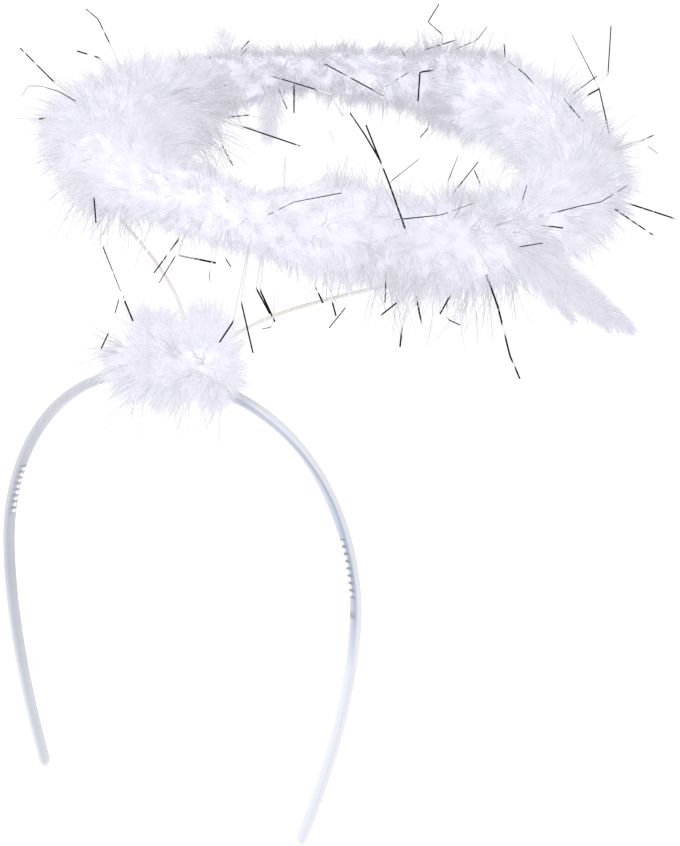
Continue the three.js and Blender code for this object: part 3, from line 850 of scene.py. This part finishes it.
to_camera = np.array([
    math.sin(view_turn) * math.cos(view_rise),
    -math.cos(view_turn) * math.cos(view_rise),
    math.sin(view_rise),
])
level_right = np.array([math.cos(view_turn), math.sin(view_turn), 0])
level_up = np.cross(to_camera, level_right)
camera_right = math.cos(view_roll) * level_right + math.sin(view_roll) * level_up
camera_up = math.cos(view_roll) * level_up - math.sin(view_roll) * level_right
lens = bpy.data.cameras.new("camera")
lens.sensor_fit = "AUTO"
lens.sensor_width = sensor
lens.lens = sensor * focal_pixels / picture_tall
lens.clip_start = 0.02
lens.clip_end = 60
camera = bpy.data.objects.new("camera", lens)
bpy.context.scene.collection.objects.link(camera)
pose = np.eye(4)
pose[:3, 0], pose[:3, 1], pose[:3, 2], pose[:3, 3] = camera_right, camera_up, to_camera, camera_spot
camera.matrix_world = Matrix(pose.tolist())
bpy.context.scene.camera = camera


# Silver strands
# Loose strands of flat silver foil, spun into the boa's cord with the feathers. They stand out of the down on
# all sides, straight or with a kink, and twist; their dark and bright flashes are painted reflections in the
# foil's colour, and the stretch inside the down is painted bright.
strand_width = 0.54 * mm
picture_middle = np.array([340, 423])
# the foil's painted dark and bright reflections, which its colour runs between
foil_painted_dark_reflection = (0.012, 0.012, 0.015, 1)
foil_painted_bright_reflection = (0.9, 0.9, 0.92, 1)
# where strands run in the photograph: the end in the down first, then each bend and the free end. Those in
# the first group lie in front of the down, and those in the second stand out of its edge
strands_in_front = [
    [(171, 135), (153, 88), (144, 65)], [(168, 82), (155, 90)], [(247, 99), (235, 86)],
    [(334, 95), (265, 74)], [(96, 152), (101, 179)], [(94, 198), (96, 223)],
    [(352, 191), (294, 202), (268, 215)],
    [(343, 116), (332, 98)], [(384, 96), (325, 64)], [(406, 231), (389, 183), (366, 125)],
    [(394, 220), (441, 215), (474, 203)], [(411, 71), (385, 87)], [(444, 69), (420, 72), (418, 101)],
    [(506, 60), (525, 74), (547, 99)], [(522, 202), (527, 185)],
    [(538, 217), (580, 206), (601, 202), (627, 186)],
    [(540, 225), (563, 228)], [(519, 247), (543, 243)], [(591, 135), (591, 152)], [(562, 97), (586, 125)],
    [(77, 102), (60, 92), (41, 86), (28, 86), (20, 99)], [(224, 84), (224, 74)], [(226, 86), (213, 76)],
]
strands_at_edge = [
    [(110, 44), (98, 19), (86, 9)], [(54, 82), (20, 48)], [(100, 58), (77, 51)], [(46, 118), (39, 119)],
    [(213, 65), (209, 55)], [(232, 67), (247, 48)], [(228, 117), (249, 115)], [(241, 126), (300, 146)],
    [(275, 81), (287, 109)], [(294, 63), (294, 113)], [(286, 152), (282, 177)], [(222, 145), (233, 166)],
    [(103, 247), (121, 292)], [(123, 297), (133, 321)], [(119, 299), (115, 313)], [(108, 334), (101, 349)],
    [(178, 240), (154, 273)], [(176, 255), (159, 283)], [(178, 255), (216, 263)], [(209, 271), (210, 282)],
    [(224, 256), (231, 267)], [(241, 301), (253, 353)], [(233, 322), (219, 343)], [(256, 288), (270, 314)],
    [(260, 290), (275, 322)], [(272, 327), (262, 329)], [(315, 286), (323, 303)], [(331, 297), (336, 316)],
    [(346, 307), (329, 328)], [(386, 274), (385, 303)], [(399, 301), (380, 316)], [(402, 328), (400, 347)],
    [(416, 295), (422, 326)], [(450, 296), (440, 314)], [(447, 319), (460, 325)],
    [(485, 271), (498, 307), (510, 356), (520, 379)], [(381, 162), (365, 135), (350, 113)],
    [(336, 144), (329, 130)], [(390, 182), (419, 159)], [(448, 181), (458, 156)], [(451, 196), (478, 162)],
    [(480, 183), (474, 170)], [(443, 35), (428, 22), (439, 4)], [(424, 50), (456, 40)],
    [(454, 50), (477, 40), (487, 27)], [(420, 76), (407, 59), (395, 40)], [(505, 55), (504, 44)],
    [(610, 137), (599, 88), (572, 35)], [(608, 74), (611, 26)], [(569, 97), (597, 76)],
    [(588, 95), (599, 89)],
    [(641, 141), (654, 135)], [(648, 146), (658, 154)], [(613, 208), (653, 235)], [(630, 204), (676, 219)],
    [(363, 48), (352, 53)],
]
hidden_strands = 16
strand_room = 8 * mm
box_low, box_high = (np.array(corner) for corner in cad_box)
room = 0.03 * (box_high - box_low) + strand_room

foil, face = finish_named("silver_foil")
spot = face.add("TexCoord", {}, {}, "Object")
painted_flash = face.add("TexNoise", {}, {"Vector": spot, "Scale": 260.0, "Detail": 1.0})
# the stretch of each strand that lies inside the down is painted bright
lit = face.add("Attribute", {"attribute_name": "lit"}, {}, "Fac")
body = face.add("BsdfPrincipled", {}, {
    "Base Color": (painted_flash.spread(0.6, 0.68) + lit).between(foil_painted_dark_reflection, foil_painted_bright_reflection),
    "Metallic": 1.0,
    "Roughness": 0.3 + 0.2 * painted_flash,
})
face.add("OutputMaterial", {}, {"Surface": body})


def strand(rng, points):
    """A flat twisting strip along a few points."""
    line = even_steps(np.array(points), 1.2 * mm)
    way = unit(np.gradient(line, axis=0))
    side = unit(np.cross(way, to_camera))
    deep = np.cross(way, side)
    twist = rng.uniform(-0.7, 0.4) + np.linspace(0, rng.uniform(0.3, 1.2), len(line))
    across = np.cos(twist)[:, None] * side + np.sin(twist)[:, None] * deep
    half = across * strand_width / 2 * rng.uniform(0.65, 1.1)
    edges = np.stack([line - half, line + half], axis=1).reshape(-1, 3)
    k = 2 * np.arange(len(line) - 1)
    return edges, np.stack([k, k + 1, k + 3, k + 2], axis=-1), []


def seen_at(pixel, depth):
    """The place that a pixel of the photograph shows at a distance in front of the camera."""
    across, down_picture = np.array(pixel) - picture_middle
    ray = (across * camera_right - down_picture * camera_up) / focal_pixels - to_camera
    return camera_spot + depth * ray


ring_angles = np.arange(0.0, 360.0, 3)
boa_middles, boa_girths, _, _ = boa_place(ring_angles)
boa_depths = (camera_spot - boa_middles) @ to_camera
boa_pixels = picture_middle + focal_pixels / boa_depths[:, None] * np.stack(
    [(boa_middles - camera_spot) @ camera_right, -(boa_middles - camera_spot) @ camera_up], axis=1)

rng = np.random.default_rng(23)
strands = []
strand_lit = []
for group, nearer in ((strands_in_front, 1.25), (strands_at_edge, 0.3)):
    for pixels in group:
        nearest = int(np.argmin(np.linalg.norm(boa_pixels - np.array(pixels[0]), axis=1)))
        depth = boa_depths[nearest] - nearer * boa_girths[nearest]
        shown = [seen_at(pixel, depth) for pixel in pixels]
        points = np.clip([boa_middles[nearest]] + shown, box_low - room, box_high + room)
        strands.append(strand(rng, points))
        # the part of a strand from the boa's middle to its first point in the down is painted bright
        in_down = np.linalg.norm(points[1] - points[0])
        strand_lit.append(np.linalg.norm(strands[-1][0] - points[0], axis=1) < in_down)
for i in range(hidden_strands):
    angle = np.array(75 + 140 * (i + rng.uniform(-0.4, 0.4)) / hidden_strands)
    middle, girth, out, _ = boa_place(angle)
    turn = rng.uniform(-1.2, -0.1)
    heading = unit(math.cos(turn) * out + math.sin(turn) * ring_normal + rng.normal(0, 0.3, 3))
    reach = girth + rng.uniform(6, 16) * mm
    knee = middle + heading * reach * rng.uniform(0.7, 0.85)
    end = knee + unit(heading + rng.normal(0, 0.35, 3)) * reach * 0.3
    strands.append(strand(rng, np.clip([middle, knee, end], box_low - room, box_high + room)))
    strand_lit.append(np.zeros(len(strands[-1][0])))
silver = shape_piece("silver_strands", joined(strands), foil, "halo_boa")
marks(silver, "lit", np.concatenate(strand_lit))


# Floor and light
# A pale floor lies just under the tips, with a wide soft light from the upper left and an even bright room.
paper, face = finish_named("pale_floor")
matt = face.add("BsdfPrincipled", {}, {
    "Base Color": (0.93, 0.93, 0.935, 1),
    "Roughness": 0.9,
    "Specular IOR Level": 0.1,
    "Emission Color": (1, 1, 1, 1),
    "Emission Strength": 0.22,
})
face.add("OutputMaterial", {}, {"Surface": matt})
floor_half = 14.0
floor_gap = 0.4 * mm
floor_height = tip_height - floor_gap
sheet = bpy.data.meshes.new("floor")
corners = [(floor_half * x, floor_half * y, floor_height) for x, y in ((-1, -1), (1, -1), (1, 1), (-1, 1))]
sheet.from_pydata(corners, [], [(0, 1, 2, 3)])
sheet.materials.append(paper)
floor = bpy.data.objects.new("floor", sheet)
bpy.context.scene.collection.objects.link(floor)


def soft_light(name, power, size, place, target):
    """A square lamp at a place, turned to its target."""
    lamp = bpy.data.lights.new(name, "AREA")
    lamp.energy = power
    lamp.size = size
    light = bpy.data.objects.new(name, lamp)
    bpy.context.scene.collection.objects.link(light)
    away = unit(np.array(place) - np.array(target))
    side = unit(np.cross([0, 0, 1.0], away))
    turn = np.eye(4)
    turn[:3, 0], turn[:3, 1], turn[:3, 2], turn[:3, 3] = side, np.cross(away, side), away, place
    light.matrix_world = Matrix(turn.tolist())


soft_light("key", 7, 0.9, (-0.5, -0.9, 1.1), (0, 0.05, 0))
world = bpy.data.worlds.new("bright_room")
world.use_nodes = True
world.node_tree.nodes["Background"].inputs["Color"].default_value = (0.98, 0.985, 1, 1)
world.node_tree.nodes["Background"].inputs["Strength"].default_value = 0.9
bpy.context.scene.world = world
bpy.context.scene.view_settings.view_transform = "Standard"
